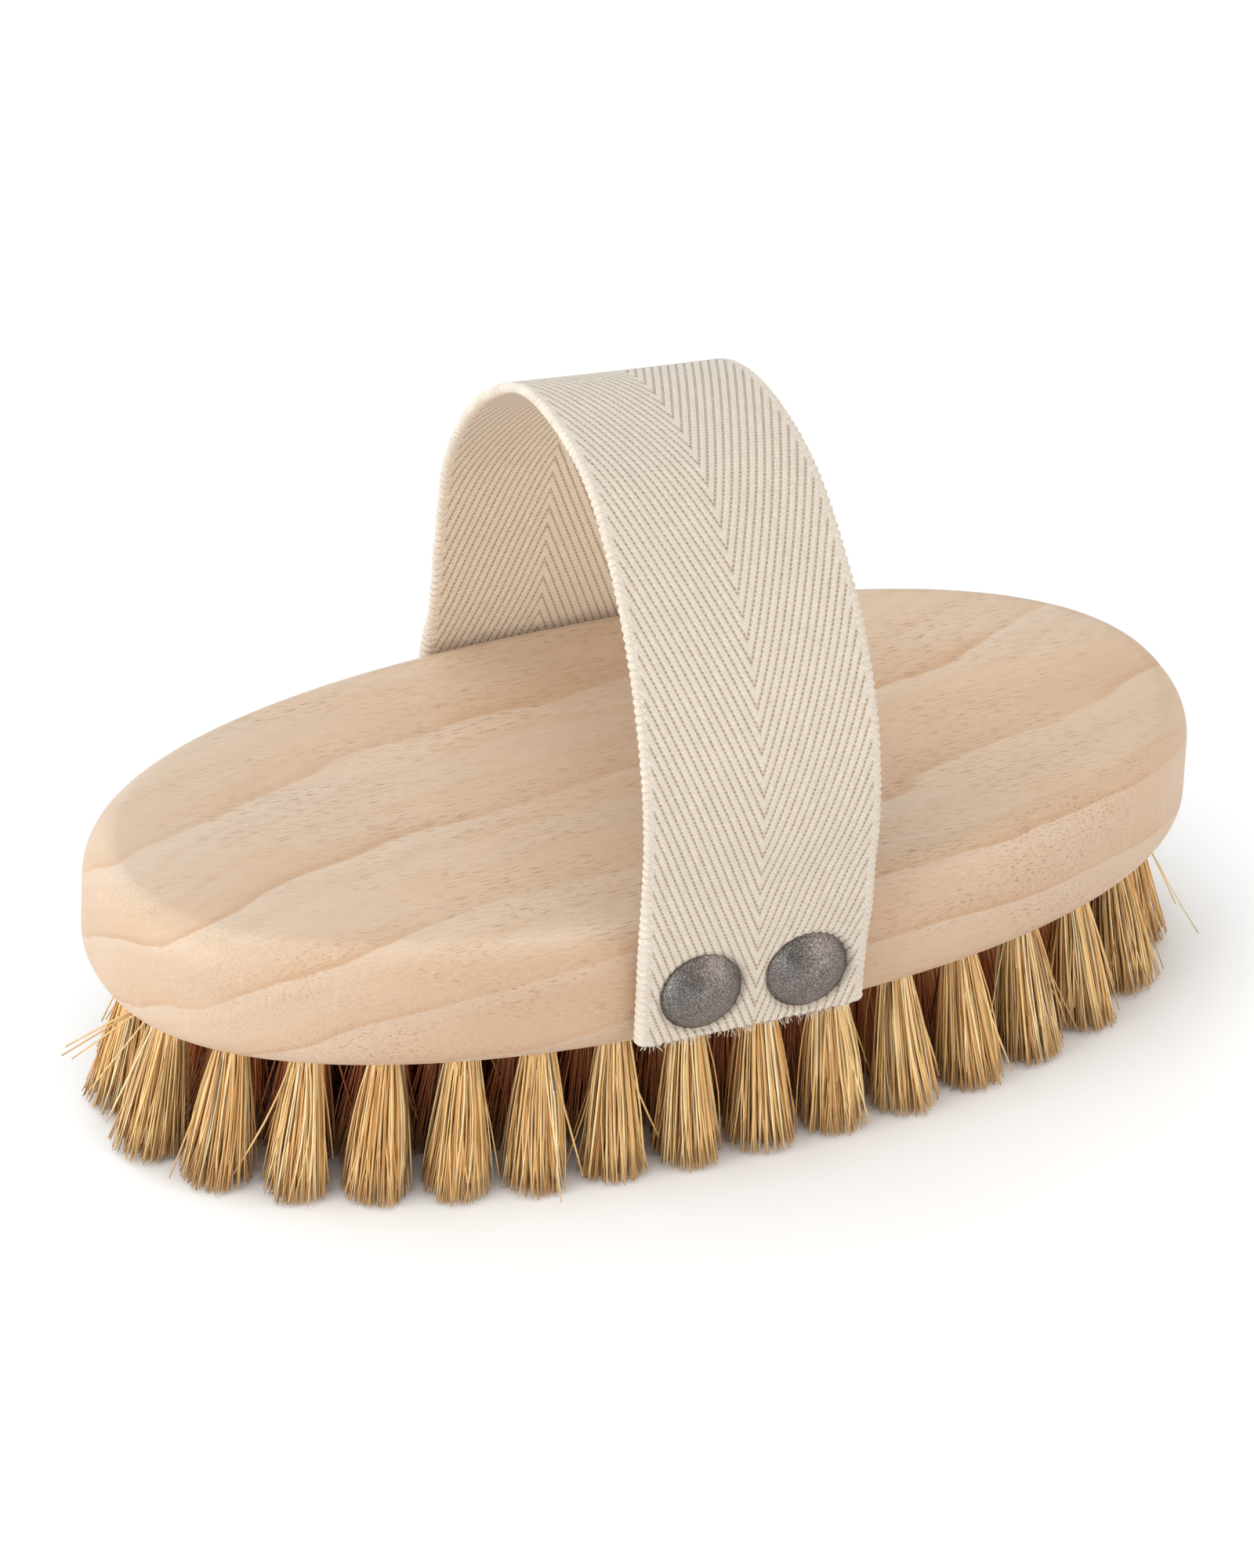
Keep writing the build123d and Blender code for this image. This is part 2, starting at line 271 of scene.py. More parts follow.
def beech_material():
    """Pale beech: growth rings that dip to the front, fine fibres, short dark flecks and end-grain arcs, with
    painted shade that leaves the sides darker and warmer than the top, most of all round the middle.
    """
    paint = Paint("beech", IOR=1.45)
    place = paint.place()
    x, y, z = (paint.add("ShaderNodeSeparateXYZ", {0: place}, output=k) for k in range(3))
    warp = paint.noise(paint.stretch(place, 14, 45, 45), detail=3.0)
    curl = paint.math("MULTIPLY", paint.math("ABSOLUTE", x), 2.2)
    bend = paint.math("MULTIPLY", x, paint.math("ADD", 0.1, curl))
    dip = paint.math("MULTIPLY", paint.math("SUBTRACT", z, BLOCK_TOP), 2.0)
    depth = paint.math("SUBTRACT", bend, paint.math("ADD", y, dip))
    depth = paint.math("ADD", depth, paint.between(warp, 0.2, 0.8, -0.004, 0.004))
    ring = paint.math("FRACT", paint.math("MULTIPLY", paint.math("SUBTRACT", depth, 0.001), 1 / 0.0195))
    cut = paint.between(ring, 0.975, 1.0, 1.0, 0.0)
    late = paint.math("MULTIPLY", paint.between(ring, 0.3, 0.97), cut)
    line = paint.math("MULTIPLY", paint.between(ring, 0.86, 0.965), cut)
    fresh = paint.between(ring, 0.0, 0.3, 1.0, 0.0)
    bands = paint.noise(paint.add("ShaderNodeCombineXYZ", {0: depth}), scale=330.0, detail=3.0)
    clouds = paint.noise(paint.stretch(place, 18, 60, 60), detail=3.0)
    fibre = paint.noise(paint.stretch(place, 160, 3400, 3400), detail=3.0, roughness=0.65)
    fleck = paint.noise(paint.stretch(place, 430, 5200, 5200), detail=1.0)
    where = paint.noise(paint.stretch(place, 40, 160, 160), detail=2.0)
    dark = paint.math("MULTIPLY", paint.between(fleck, 0.56, 0.68), paint.between(where, 0.3, 0.65, 0.2, 1.0))
    dark = paint.math("MULTIPLY", dark, paint.between(paint.math("ABSOLUTE", x), 0.045, 0.07, 1.0, 0.45))
    speck = paint.between(paint.noise(paint.stretch(place, 900, 3200, 3200), detail=1.0), 0.64, 0.76)
    normal = paint.add("ShaderNodeNewGeometry", {}, output=1)
    upright = paint.add("ShaderNodeSeparateXYZ", {0: normal}, output=2)
    side = paint.between(paint.math("ABSOLUTE", upright), 0.35, 0.85, 1.0, 0.0)
    arcs = paint.noise(paint.stretch(place, 950, 950, 70), detail=2.0)
    end = paint.between(paint.math("ABSOLUTE", x), 0.035, 0.062)
    arcs = paint.math("MULTIPLY", paint.between(arcs, 0.58, 0.7), paint.math("MULTIPLY", side, end))
    tone = paint.mix(paint.between(clouds, 0.3, 0.7), color(0.59, 0.46, 0.35), color(0.605, 0.435, 0.30))
    # Painted shade: faces that turn sideways get a darker, warmer tone than the top.
    tone = paint.mix(paint.math("MULTIPLY", side, 0.5), tone, color(0.57, 0.40, 0.27))
    # Painted shade: the sides round the middle, beside the strap, get a darker, warmer brown.
    middle = paint.between(paint.math("ABSOLUTE", paint.math("ADD", x, 0.012)), 0.018, 0.045, 1.0, 0.0)
    painted_side_shade = paint.math("MULTIPLY", paint.math("MULTIPLY", side, middle), 0.6)
    tone = paint.mix(painted_side_shade, tone, color(0.48, 0.30, 0.175))
    tone = paint.mix(paint.between(bands, 0.35, 0.7, 0.0, 0.45), tone, color(0.53, 0.365, 0.24))
    fading = paint.between(paint.noise(paint.stretch(place, 22, 70, 70), detail=1.0), 0.35, 0.65, 0.3, 1.0)
    late = paint.math("MULTIPLY", late, paint.math("MULTIPLY", fading, 0.5))
    tone = paint.mix(late, tone, color(0.515, 0.32, 0.185))
    line = paint.math("MULTIPLY", line, paint.math("MULTIPLY", fading, 0.45))
    tone = paint.mix(line, tone, color(0.45, 0.25, 0.125))
    tone = paint.mix(paint.math("MULTIPLY", fresh, 0.25), tone, color(0.62, 0.505, 0.405))
    tone = paint.mix(paint.between(fibre, 0.3, 0.75, 0.0, 0.3), tone, color(0.45, 0.30, 0.19))
    tone = paint.mix(paint.math("MULTIPLY", dark, 0.6), tone, color(0.27, 0.145, 0.075))
    tone = paint.mix(paint.math("MULTIPLY", speck, 0.22), tone, color(0.72, 0.61, 0.49))
    tone = paint.mix(paint.math("MULTIPLY", arcs, 0.13), tone, color(0.74, 0.60, 0.45))
    height = paint.math("SUBTRACT", paint.math("MULTIPLY", fibre, 0.5), dark)
    rough = paint.between(clouds, 0.2, 0.8, 0.44, 0.54)
    return paint.finish(Base_Color=tone, Roughness=rough, Normal=paint.bump(height, 0.3, 0.00008))


def weave(paint):
    """The herringbone's phase and its distance across, from the strap's own across and along numbers."""
    across = paint.attribute("across")
    along = paint.attribute("along")
    side = paint.math("ABSOLUTE", across)
    phase = paint.math("SUBTRACT", along, paint.math("MULTIPLY", side, RIB_SLOPE))
    return across, along, side, paint.math("FRACT", paint.math("MULTIPLY", phase, 1 / RIB_RISE))


def webbing_material():
    """Cream cotton herringbone: raised ribs, dotted tan lines between them and knobbly selvedges."""
    paint = Paint("webbing", IOR=1.4, Sheen_Weight=0.25, Sheen_Roughness=0.5)
    across, along, side, phase = weave(paint)
    half = STRAP_HIGH[0]
    inside = paint.between(side, half - SELVEDGE - 0.0002, half - SELVEDGE, 1.0, 0.0)
    from_line = paint.math("ABSOLUTE", paint.math("SUBTRACT", phase, 0.5))
    groove = paint.math("MULTIPLY", paint.between(from_line, 0.31, 0.43), inside)
    dots = paint.math("FRACT", paint.math("MULTIPLY", along, 1 / 0.00058))
    dotted = paint.between(paint.math("ABSOLUTE", paint.math("SUBTRACT", dots, 0.5)), 0.1, 0.34)
    thread = paint.math("MULTIPLY", groove, paint.between(dotted, 0.0, 1.0, 0.35, 1.0))
    cloth = paint.add("ShaderNodeCombineXYZ", {0: across, 1: along})
    slub = paint.noise(paint.stretch(cloth, 900, 160, 1), detail=3.0)
    fuzz = paint.noise(paint.place(), scale=5200.0, detail=2.0)
    twist = paint.math("SINE", paint.math("MULTIPLY", paint.math("ADD", along, across), 2 * math.pi / 0.00052))
    knob = paint.math("SINE", paint.math("MULTIPLY", along, 2 * math.pi / 0.0011))
    knob = paint.math("MULTIPLY", knob, paint.math("SUBTRACT", 1.0, inside))
    cream = paint.mix(slub, color(0.61, 0.52, 0.425), color(0.72, 0.63, 0.535))
    # Partly painted warm bounce light from the wood on the strap's inner face, partly a less bleached yarn there.
    cream = paint.mix(paint.math("MULTIPLY", paint.attribute("underside"), 0.85), cream, color(0.80, 0.64, 0.485))
    tan = paint.mix(slub, color(0.30, 0.19, 0.09), color(0.46, 0.32, 0.17))
    tone = paint.mix(thread, cream, tan)
    tone = paint.mix(paint.between(fuzz, 0.45, 0.75, 0.0, 0.5), tone, color(0.80, 0.74, 0.65))
    yarn = paint.math("MULTIPLY", paint.math("ADD", twist, paint.math("MULTIPLY", knob, 2.0)), 0.25)
    height = paint.math("ADD", yarn, paint.math("MULTIPLY", fuzz, 0.8))
    height = paint.math("ADD", height, paint.math("MULTIPLY", groove, -0.9))
    return paint.finish(Base_Color=tone, Roughness=0.9, Normal=paint.bump(height, 0.85, 0.0002))


def bristle_material():
    """Glossy natural bristle: every hair has its own tone, with painted shade that darkens it towards the root and
    makes the inner rows darker and redder.
    """
    paint = Paint("bristle", IOR=1.8)
    tint, fade, inner = (paint.attribute(name) for name in ("tint", "fade", "inner"))
    ramp = paint.add("ShaderNodeValToRGB", {0: tint})
    stops = [
        (0.0, color(0.03, 0.015, 0.01)), (0.02, color(0.12, 0.05, 0.02)), (0.05, color(0.66, 0.33, 0.09)),
        (0.45, color(0.93, 0.58, 0.20)), (0.80, color(0.97, 0.70, 0.31)), (1.0, color(0.98, 0.86, 0.56)),
    ]
    elements = ramp.node.color_ramp.elements
    while len(elements) < len(stops):
        elements.new(0.5)
    for element, (position, tone) in zip(elements, stops):
        element.position = position
        element.color = tone
    streak = paint.noise(paint.stretch(paint.place(), 900, 900, 120), detail=2.0)
    tone = paint.mix(paint.between(streak, 0.35, 0.75, 0.0, 0.35), ramp, color(0.50, 0.28, 0.10))
    # Painted shade: darker towards the root, where the hairs crowd into the hole.
    tone = paint.mix(paint.between(fade, 0.0, 0.3, 0.25, 0.0), tone, color(0.45, 0.22, 0.07))
    tone = paint.mix(paint.between(fade, 0.8, 1.0, 0.0, 0.45), tone, color(0.42, 0.20, 0.07))
    # Painted shade: the inner rows get a darker, redder tone in place of the shadow between the tufts.
    deep = paint.math("MULTIPLY", inner, paint.between(fade, 0.7, 1.0, 1.0, 0.25))
    tone = paint.mix(deep, tone, color(0.95, 0.42, 0.17))
    return paint.finish(Base_Color=tone, Roughness=paint.between(streak, 0.2, 0.8, 0.3, 0.45))


def nail_material():
    """Antiqued pewter plating: dark metal with a bright sprayed speckle."""
    paint = Paint("nail_pewter", Metallic=0.9)
    place = paint.place()
    speckle = paint.noise(place, scale=4200.0, detail=3.0, roughness=0.7)
    glint = paint.between(paint.noise(place, scale=3800.0, detail=1.0), 0.63, 0.73)
    patch = paint.noise(place, scale=330.0, detail=2.0)
    tone = paint.mix(paint.between(speckle, 0.36, 0.66), color(0.09, 0.077, 0.07), color(0.30, 0.267, 0.247))
    tone = paint.mix(paint.between(patch, 0.35, 0.7, 0.0, 0.4), tone, color(0.12, 0.105, 0.097))
    tone = paint.mix(paint.math("MULTIPLY", glint, 0.7), tone, color(0.52, 0.49, 0.46))
    rough = paint.between(speckle, 0.3, 0.7, 0.42, 0.3)
    return paint.finish(Base_Color=tone, Roughness=rough, Normal=paint.bump(speckle, 0.5, 0.00012))


def steel_material(name, tone):
    """Plain drawn steel with faint draw marks, for the pins and anchors."""
    paint = Paint(name, Metallic=1.0)
    marks = paint.noise(paint.stretch(paint.place(), 900, 5000, 900), detail=2.0)
    shade = paint.mix(marks, color(*(0.75 * v for v in tone)), color(*tone))
    return paint.finish(Base_Color=shade, Roughness=paint.between(marks, 0.2, 0.8, 0.28, 0.42))


def floor_material():
    """Pale matte paper."""
    paint = Paint("floor_paper")
    grain = paint.noise(paint.place(), scale=40.0, detail=3.0)
    return paint.finish(Base_Color=paint.mix(grain, color(0.90, 0.90, 0.90), color(0.91, 0.91, 0.91)), Roughness=0.9)


# ---- Block ---------------------------------------------------------------------------------------

def oval(turns, half_length, half_width):
    """Points and outward normals of a superellipse at the given turns."""
    power = 2 / OVAL_POWER
    c, s = np.cos(turns), np.sin(turns)
    points = np.stack([half_length * np.sign(c) * abs(c) ** power, half_width * np.sign(s) * abs(s) ** power], 1)
    lean = OVAL_POWER - 1
    x, y = points.T / np.array([[half_length], [half_width]])
    normals = np.stack([np.sign(x) * abs(x) ** lean / half_length, np.sign(y) * abs(y) ** lean / half_width], 1)
    return points, normals / np.linalg.norm(normals, axis=1, keepdims=True)


def block_rings():
    """Rings of points from the lower flat's edge, up the side and over the top, to near its centre."""
    around = np.linspace(0, 2 * math.pi, OUTLINE_STEPS, endpoint=False)
    outline, normals = oval(around, HALF_LENGTH, HALF_WIDTH)
    turn = np.linspace(0, math.pi / 2, ROUND_STEPS)
    low_in, low_up = BOTTOM_ROUND
    high_in, high_down = TOP_ROUND
    lower = [(low_in * (1 - math.cos(t)), BLOCK_BOTTOM + low_up * (1 - math.sin(t))) for t in turn[::-1]]
    upper = [(high_in * (1 - math.cos(t)), BLOCK_TOP - high_down * (1 - math.sin(t))) for t in turn]
    side = [(0.0, z) for z in np.linspace(lower[-1][1], upper[0][1], SIDE_STEPS + 1)[1:-1]]
    levels = lower + side + upper
    rings = [np.column_stack([outline - inset * normals, np.full(OUTLINE_STEPS, z)]) for inset, z in levels]
    flat = rings[-1]
    for k in range(1, TOP_RINGS):
        ring = flat.copy()
        ring[:, :2] *= 1 - k / TOP_RINGS
        rings.append(ring)
    return rings


def beech_block(material, tufts):
    """The block, smooth all over, with a blind hole for each tuft in its underside."""
    rings = block_rings()
    bm = bmesh.new()
    verts = [[bm.verts.new(p) for p in ring] for ring in rings]
    for low, high in zip(verts, verts[1:]):
        for k in range(OUTLINE_STEPS):
            n = (k + 1) % OUTLINE_STEPS
            bm.faces.new((low[k], low[n], high[n], high[k]))
    bm.faces.new(verts[-1])
    edges = [bm.edges.get((verts[0][k], verts[0][(k + 1) % OUTLINE_STEPS])) for k in range(OUTLINE_STEPS)]
    mouths = []
    turns = np.linspace(0, 2 * math.pi, HOLE_SIDES, endpoint=False)
    for row in tufts.values():
        for tuft in row:
            x, y = tuft["root"]
            spots = [(x + HOLE_RADIUS * math.cos(t), y + HOLE_RADIUS * math.sin(t), BLOCK_BOTTOM) for t in turns]
            loop = [bm.verts.new(spot) for spot in spots]
            mouth = [bm.edges.new((loop[k - 1], loop[k])) for k in range(HOLE_SIDES)]
            mouths.append(mouth)
            edges += mouth
    bmesh.ops.triangle_fill(bm, edges=edges, use_beauty=True)
    for mouth in mouths:
        made = bmesh.ops.extrude_edge_only(bm, edges=mouth)["geom"]
        floor = [v for v in made if isinstance(v, bmesh.types.BMVert)]
        bmesh.ops.translate(bm, verts=floor, vec=(0, 0, HOLE_DEPTH))
        bmesh.ops.contextual_create(bm, geom=[e for e in made if isinstance(e, bmesh.types.BMEdge)])
    mesh = bpy.data.meshes.new("beech_block")
    bm.to_mesh(mesh)
    bm.free()
    block = add_object("beech_block", mesh, material)
    mesh.set_sharp_from_angle(angle=math.radians(40))
    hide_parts("handle_block")
    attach(block, BODY)


# ---- Bristles ------------------------------------------------------------------------------------

def islands(mesh):
    """The mesh's points, and a number for each that is the same for points that are joined up."""
    points = np.array([v.co for v in mesh.vertices])
    edges = np.array([e.vertices[:] for e in mesh.edges])
    _, spot = np.unique(points, axis=0, return_inverse=True)
    a, b = spot.ravel()[edges].T
    group = np.arange(len(points))
    while (group[a] != group[b]).any():
        low = np.minimum(group[a], group[b])
        np.minimum.at(group, a, low)
        np.minimum.at(group, b, low)
        group = group[group]
    return points, group[spot.ravel()]


def read_tufts():
    """{row: [{"root": (x, y), "tip": (x, y), "reach": tip radius}, ...]}, from the CAD bundles."""
    rows = {}
    for row in TUFT_ROWS:
        points, group = islands(frame["nodes"][f"tufts_{row}"].data)
        rows[row] = []
        for number in np.unique(group):
            mine = points[group == number]
            top = mine[mine[:, 2] > BLOCK_BOTTOM + 1 * MM, :2]
            low = mine[mine[:, 2] < 0.1 * MM, :2]
            root, tip = ((p.min(0) + p.max(0)) / 2 for p in (top, low))
            rows[row].append({"root": root, "tip": tip, "reach": np.ptp(low[:, 0]) / 2})
    return rows


def hair_paths(tuft, count, fan):
    """Paths of one tuft's hairs as (count, rings, 3), fanning out from the hole to the trimmed tips."""
    ring = np.sqrt(rng.uniform(0, 1, count))
    turn = rng.uniform(0, 2 * math.pi, count)
    away = np.stack([np.cos(turn), np.sin(turn)], 1)
    root = tuft["root"] + away * (ring * ROOT_RADIUS)[:, None]
    spread = ring ** 0.95 * tuft["reach"] * fan
    tip = tuft["tip"] + away * spread[:, None] + rng.normal(0, HAIR_SCATTER, (count, 2))
    stray = rng.uniform(0, 1, count) < STRAY_SHARE
    tip[stray] += rng.normal(0, STRAY_SCATTER, (stray.sum(), 2))
    rise = rng.exponential(TRIM_SCATTER, count) + EDGE_RISE * ring ** 4
    rise[stray] += rng.uniform(0, STRAY_RISE, stray.sum())
    t = np.linspace(0, 1, HAIR_RINGS)
    flat = t[None, :, None] ** 1.12
    bow = np.sin(math.pi * t)[None, :, None] * rng.normal(0, HAIR_SCATTER, (count, 1, 2))
    paths = np.empty((count, HAIR_RINGS, 3))
    paths[:, :, :2] = root[:, None] * (1 - flat) + tip[:, None] * flat + bow
    paths[:, :, 2] = BLOCK_BOTTOM + (rise[:, None] - BLOCK_BOTTOM) * t
    start = root + (root - paths[:, 1, :2]) * 0.4
    start = tuft["root"] + (start - tuft["root"]) * 0.9
    buried = np.column_stack([start, np.full(count, BLOCK_BOTTOM + HAIR_START)])
    return np.concatenate([buried[:, None], paths], axis=1)


def tubes(paths, radii, sides):
    """Points and faces of closed tapering tubes along (n, rings, 3) paths with (n, rings) radii."""
    count, rings, _ = paths.shape
    turn = np.linspace(0, 2 * math.pi, sides, endpoint=False)
    run = np.gradient(paths, axis=1)
    run /= np.linalg.norm(run, axis=2, keepdims=True)
    first = np.cross(run, np.array([0.31, 0.95, 0.05]))
    first /= np.linalg.norm(first, axis=2, keepdims=True)
    second = np.cross(run, first)
    offset = first[:, :, None] * np.cos(turn)[:, None] + second[:, :, None] * np.sin(turn)[:, None]
    points = paths[:, :, None] + offset * radii[:, :, None, None]
    one = grid_faces(rings, sides, wrap=True)
    base = np.arange(count)[:, None, None] * rings * sides
    quads = (one[None] + base).reshape(-1, 4)
    ends = np.array([np.arange(sides)[::-1], np.arange(sides) + (rings - 1) * sides])
    caps = (ends[None] + base).reshape(-1, sides)
    return points.reshape(-1, 3), [quads, caps]


def bristle_row(row, side, tufts, material):
    """All the hairs of one row of tufts, or of one side of it, as one piece."""
    count = TUFT_ROWS[row]
    fan = OUTER_FAN if row == "outer_ring" else INNER_FAN
    paths = np.concatenate([hair_paths(tuft, count, fan) for tuft in tufts])
    if side == "_front":
        paths = np.concatenate([paths, flyaway_paths(tufts)])
    rings = paths.shape[1]
    share = np.linspace(0, 1, rings)
    thick = rng.uniform(0.75, 1.25, len(paths))[:, None]
    radii = thick * (HAIR_RADIUS + (HAIR_TIP_RADIUS - HAIR_RADIUS) * share ** 1.5)
    points, faces = tubes(paths, radii, HAIR_SIDES)
    bristles = add_mesh(f"bristles_{row}{side}", points, faces, material)
    repeat = rings * HAIR_SIDES
    set_attribute(bristles, "tint", np.repeat(rng.uniform(0, 1, len(paths)), repeat))
    set_attribute(bristles, "fade", np.tile(np.repeat(share, HAIR_SIDES), len(paths)))
    # The inner rows are marked for the material's painted shade.
    set_attribute(bristles, "inner", np.full(len(points), 0.0 if row == "outer_ring" else 1.0))
    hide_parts(f"tufts_{row}")
    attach(bristles, BODY)


def flyaway_paths(tufts):
    """A few hairs that have sprung out sideways at the left end of the brush."""
    end = min(tufts, key=lambda tuft: tuft["root"][0])
    root = np.array([*end["root"], BLOCK_BOTTOM + HAIR_START])
    t = np.linspace(0, 1, HAIR_RINGS + 1)[:, None]
    paths = []
    for x, y, z in FLYAWAY_TIPS:
        tip = np.array([end["root"][0] + x * MM, end["root"][1] + y * MM, z * MM])
        middle = 0.55 * root + 0.45 * tip
        paths.append((1 - t) ** 2 * root + 2 * t * (1 - t) * middle + t ** 2 * tip)
    return np.array(paths)


# ---- Strap ---------------------------------------------------------------------------------------

def smooth_path(points, count):
    """A curve through the points, at count evenly spaced steps, and its length."""
    p = np.array(points) * MM
    p = np.vstack([2 * p[0] - p[1], p, 2 * p[-1] - p[-2]])
    t = np.linspace(0, 1, 40, endpoint=False)[:, None]
    spans = []
    for a, b, c, d in zip(p, p[1:], p[2:], p[3:]):
        square, cube = 2 * a - 5 * b + 4 * c - d, 3 * b - a - 3 * c + d
        spans.append(0.5 * (2 * b + (c - a) * t + square * t ** 2 + cube * t ** 3))
    path = np.vstack(spans + [p[-2:-1]])
    length = np.concatenate([[0], np.cumsum(np.linalg.norm(np.diff(path, axis=0), axis=1))])
    wanted = np.linspace(0, length[-1], count)
    return np.stack([np.interp(wanted, length, path[:, k]) for k in (0, 1)], 1), length[-1]


def strap_grid(columns):
    """The strap's middle surface, its outward normals, and the across and along numbers of each point."""
    left, left_length = smooth_path(LEFT_EDGE, STRAP_ROWS)
    right, right_length = smooth_path(RIGHT_EDGE, STRAP_ROWS)
    length = (left_length + right_length) / 2
    half = STRAP_HIGH[0]
    share, along = np.meshgrid(np.linspace(0, 1, columns + 1), np.linspace(0, length, STRAP_ROWS))
    across = (2 * share - 1) * half
    tuck = 1 - HEM_TUCK * (1 - smoothstep(along, 0, TUCK_RISE)) * (across > 0)
    loops = abs(np.sin(math.pi * along / KNOB_RISE))
    knob = KNOB_DEPTH * loops * smoothstep(abs(across), half - KNOB_REACH, half)
    middle = np.empty((*share.shape, 3))
    middle[:, :, 0] = across * tuck + np.sign(across) * knob
    middle[:, :, 1:] = left[:, None] * (1 - share)[:, :, None] + right[:, None] * share[:, :, None]
    normal = np.cross(np.gradient(middle, axis=0), np.gradient(middle, axis=1))
    normal /= np.linalg.norm(normal, axis=2, keepdims=True)
    if normal[0, 0, 1] > 0:
        normal = -normal
    ragged = np.interp(across, np.linspace(-half, half, 60), rng.uniform(-0.16, 0.16, 60) * MM)
    end = smoothstep(along, 1.0 * MM, 0) + smoothstep(length - along, 1.0 * MM, 0)
    middle[:, :, 2] += ragged * end
    return middle, normal, across, along, length


def rib_height(across, along):
    """How far the weave's ribs stand up: round ribs, with knobbly selvedges."""
    side = abs(across)
    rib = abs(np.sin(math.pi * (along - RIB_SLOPE * side) / RIB_RISE)) ** 0.7
    plain = smoothstep(side, STRAP_HIGH[0] - SELVEDGE - 0.3 * MM, STRAP_HIGH[0] - SELVEDGE)
    knob = abs(np.sin(math.pi * along / KNOB_RISE))
    return RIB_RELIEF * (rib * (1 - plain) + knob * plain)


def nail_swell(middle):
    """How far the webbing stands proud between and around the nail heads, which press it down."""
    pressed = np.zeros(middle.shape[:2])
    for name in NAIL_NAMES[:2]:
        low, high = (np.array(c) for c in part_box(name))
        x, z, radius = (low[0] + high[0]) / 2, (low[2] + high[2]) / 2, (high[0] - low[0]) / 2
        distance = np.hypot(middle[:, :, 0] - x, middle[:, :, 2] - z - 0.25 * MM)
        pressed = np.maximum(pressed, 1 - smoothstep(distance, radius + 0.15 * MM, radius + 0.75 * MM))
    near = 1 - smoothstep(middle[:, :, 2], NAIL_Z + 7 * MM, NAIL_Z + 16 * MM)
    return NAIL_SWELL * near * (1 - pressed)


def round_edge(outer, inner, direction):
    """Points round one selvedge, from its outer corner to its inner one."""
    centre, half = (outer + inner) / 2, (outer - inner) / 2
    bulge = np.zeros_like(half)
    bulge[:, 0] = 0.8 * direction * np.linalg.norm(half, axis=1)
    turn = np.linspace(0, math.pi, EDGE_STEPS + 2)[1:-1]
    return np.stack([centre + half * math.cos(t) + bulge * math.sin(t) for t in turn], 1)


def herringbone_strap(material):
    """One continuous strap from hem to hem, with raised ribs, and frayed threads at its cut ends."""
    middle, normal, across, along, length = strap_grid(OUTER_COLUMNS)
    bulk = WEBBING_THICKNESS / 2 - RIB_RELIEF + rib_height(across, along)
    outer = middle + normal * (bulk + nail_swell(middle))[:, :, None]
    under, under_normal, under_across, under_along, _ = strap_grid(INNER_COLUMNS)
    inner = (under - under_normal * WEBBING_THICKNESS / 2)[:, ::-1]
    right = round_edge(outer[:, -1], inner[:, 0], 1)
    left = round_edge(outer[:, 0], inner[:, -1], -1)[:, ::-1]
    loop = np.concatenate([outer, right, inner, left], axis=1)
    rows, columns = loop.shape[:2]
    strap = add_mesh("hand_strap", loop.reshape(-1, 3), [grid_faces(rows, columns, wrap=True)], material)
    bm = bmesh.new()
    bm.from_mesh(strap.data)
    ends = bmesh.ops.holes_fill(bm, edges=[e for e in bm.edges if e.is_boundary], sides=0)["faces"]
    bmesh.ops.triangulate(bm, faces=ends)
    bmesh.ops.recalc_face_normals(bm, faces=bm.faces)
    bm.to_mesh(strap.data)
    bm.free()
    pad = np.zeros((rows, EDGE_STEPS))
    numbers = {
        "across": (across, pad + STRAP_HIGH[0], under_across[:, ::-1], pad - STRAP_HIGH[0]),
        "along": (along, pad + along[:, :1], under_along, pad + along[:, :1]),
        # underside drives the painted warm bounce light on the strap's inner face.
        "underside": (across * 0, pad + 0.3, under_across * 0 + 1, pad + 0.3),
    }
    for name, parts in numbers.items():
        set_attribute(strap, name, np.concatenate(parts, axis=1).ravel())
    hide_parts("strap_loop", "strap_end_front", "strap_end_rear")
    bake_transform(strap)
    for name, row in (("front", 0), ("rear", -1)):
        frayed_end(f"strap_fray_{name}", middle[row], normal[row], material)


def frayed_end(name, line, normal, material):
    """Short cut threads that stick out of one hem."""
    index = rng.uniform(0.01, 0.99, FRAY_COUNT) * (len(line) - 1)
    start = np.stack([np.interp(index, np.arange(len(line)), line[:, k]) for k in range(3)], 1)
    start += normal[0] * rng.uniform(-0.5, 0.5, FRAY_COUNT)[:, None] * MM
    start[:, 2] += 0.4 * MM
    drop = rng.uniform(0.8, 1.8, FRAY_COUNT)[:, None, None] * MM
    drift = rng.normal(0, 0.45, (FRAY_COUNT, 1, 3)) * MM
    drift[:, :, 1] = normal[0][1] * abs(drift[:, :, 1])
    t = np.linspace(0, 1, FRAY_STEPS)[None, :, None]
    paths = start[:, None] + t * drop * np.array([0, 0, -1.0]) + t ** 2 * drift
    radii = rng.uniform(0.06, 0.13, FRAY_COUNT)[:, None] * MM * np.linspace(1, 0.45, FRAY_STEPS)[None]
    points, faces = tubes(paths, radii, FRAY_SIDES)
    fray = add_mesh(name, points, faces, material)
    count = len(points)
    set_attribute(fray, "across", np.full(count, STRAP_HIGH[0]))
    set_attribute(fray, "along", points[:, 0])
    set_attribute(fray, "underside", np.zeros(count))
    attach(fray, BODY)


# ---- Nails ---------------------------------------------------------------------------------------

